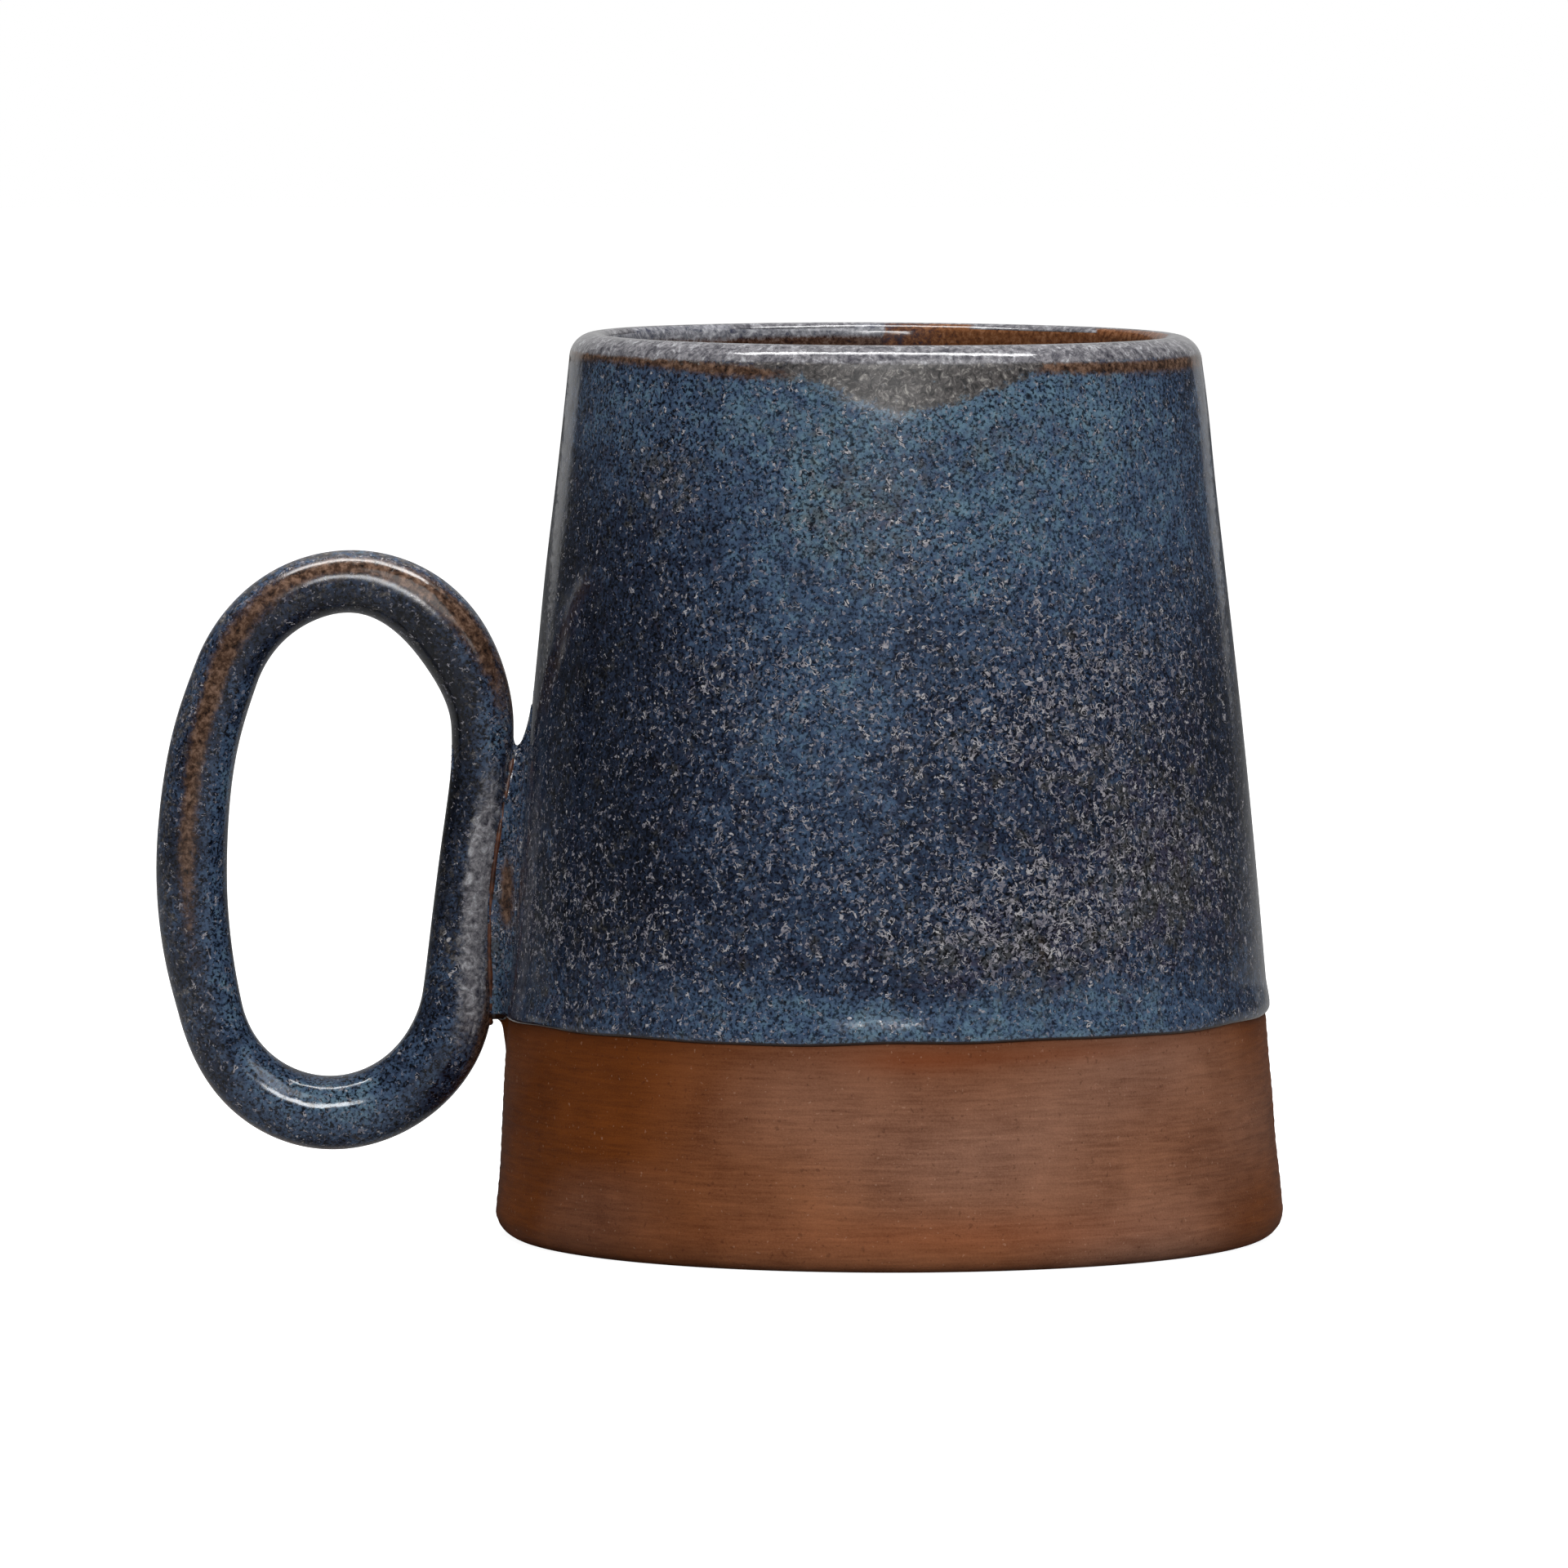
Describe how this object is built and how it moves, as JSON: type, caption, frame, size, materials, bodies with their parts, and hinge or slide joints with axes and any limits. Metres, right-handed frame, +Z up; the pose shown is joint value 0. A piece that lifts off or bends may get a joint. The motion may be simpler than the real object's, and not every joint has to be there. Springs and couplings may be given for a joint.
{
  "type": "mug",
  "caption": "Tapered stoneware mug with an oval coil ring handle joined to its side by a short bridge, and a bare clay base band under a glossy glaze.",
  "frame": {"origin": "centre of the foot, on the surface that the mug stands on", "axes": "+Z up along the cup's axis, -X towards the handle, +Y across, square to the handle's plane"},
  "size_m": [0.1349, 0.0944, 0.108],
  "materials": {
    "stoneware_clay": "matte unglazed brown stoneware with fine turning marks",
    "clay_slip": "matte dark brown slip seam",
    "reactive_glaze": "glossy blue reactive glaze with dark and pale speckles, breaking brown on edges",
    "liner_glaze": "glossy dark blue glaze, breaking brown near the lip"
  },
  "bodies": {
    "root": {"clay_cup": "stoneware_clay", "handle_ring": "stoneware_clay", "handle_bridge": "stoneware_clay", "slip_cup_joint": "clay_slip", "slip_ring_joint": "clay_slip", "glaze_outer": "reactive_glaze", "glaze_liner": "liner_glaze", "glaze_ring": "reactive_glaze", "glaze_bridge": "reactive_glaze"}
  },
  "joints": []
}
